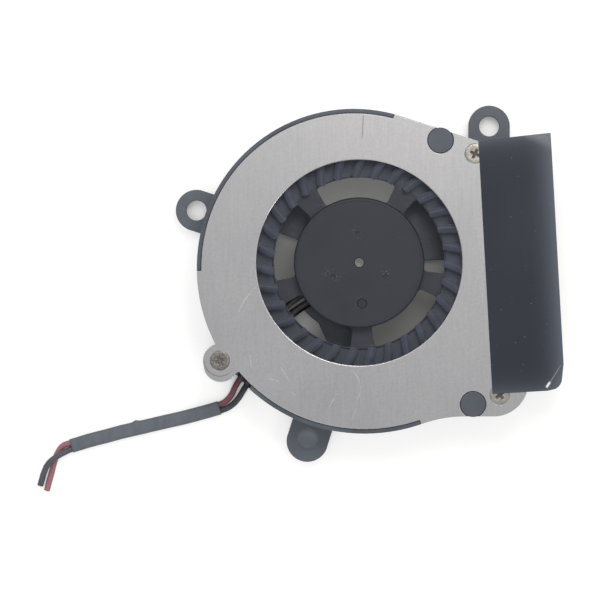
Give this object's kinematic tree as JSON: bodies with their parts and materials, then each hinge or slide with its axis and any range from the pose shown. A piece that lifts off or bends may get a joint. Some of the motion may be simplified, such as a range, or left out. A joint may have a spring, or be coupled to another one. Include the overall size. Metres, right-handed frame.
{
  "type": "cpu cooling fan",
  "caption": "Flat centrifugal blower with a scroll housing, sheet metal cover, leaning-blade impeller, side outlet under a black film, and two supply leads in a sleeve.",
  "frame": {"origin": "on the rotor's axis, in the plane of the housing's underside", "axes": "+Z along the rotor's axis out of the cover, +X towards the outlet"},
  "size_m": [0.0949, 0.0697, 0.0101],
  "materials": {
    "frame_plastic": "moulded, satin black",
    "cover_sheet": "brushed sheet",
    "screw_steel": "plated",
    "tape_film": "glossy film",
    "impeller_plastic": "moulded, matt",
    "shaft_steel": "ground",
    "yoke_steel": "pressed sheet",
    "magnet_ferrite": "bonded ferrite",
    "core_steel": "stamped laminations",
    "coil_copper": "enamelled wire",
    "bobbin_plastic": "moulded",
    "pin_brass": "tinned",
    "board_laminate": "solder mask",
    "chip_epoxy": "moulded",
    "capacitor_ceramic": "fired",
    "solder": "bright",
    "tube_brass": "drawn",
    "bearing_bronze": "sintered",
    "pad_nylon": "natural",
    "lead_red": "satin",
    "lead_black": "satin",
    "sleeve_black": "wrinkled, satin"
  },
  "bodies": {
    "housing": {"base_frame": "frame_plastic", "cover_plate": "cover_sheet", "cover_screws": "screw_steel", "outlet_tape": "tape_film", "stator_core": "core_steel", "bobbin_upper": "bobbin_plastic", "bobbin_lower": "bobbin_plastic", "coil_1": "coil_copper", "coil_2": "coil_copper", "coil_3": "coil_copper", "coil_4": "coil_copper", "coil_pins": "pin_brass", "motor_board": "board_laminate", "driver_chip": "chip_epoxy", "board_capacitor": "capacitor_ceramic", "solder_joints": "solder", "bearing_tube": "tube_brass", "sleeve_bearing": "bearing_bronze", "thrust_pad": "pad_nylon", "shaft_clip": "pad_nylon", "oil_ring": "pad_nylon", "red_lead_inner": "lead_red", "black_lead_inner": "lead_black", "red_lead": "lead_red", "black_lead": "lead_black", "lead_sleeve": "sleeve_black"},
    "rotor": {"impeller": "impeller_plastic", "rotor_shaft": "shaft_steel", "rotor_yoke": "yoke_steel", "rotor_magnet": "magnet_ferrite"}
  },
  "joints": [
    {"name": "rotor_spin", "type": "hinge", "parent": "housing", "child": "rotor", "pos_m": [0, 0, 0], "axis": [0, 0, 1], "continuous": true}
  ]
}
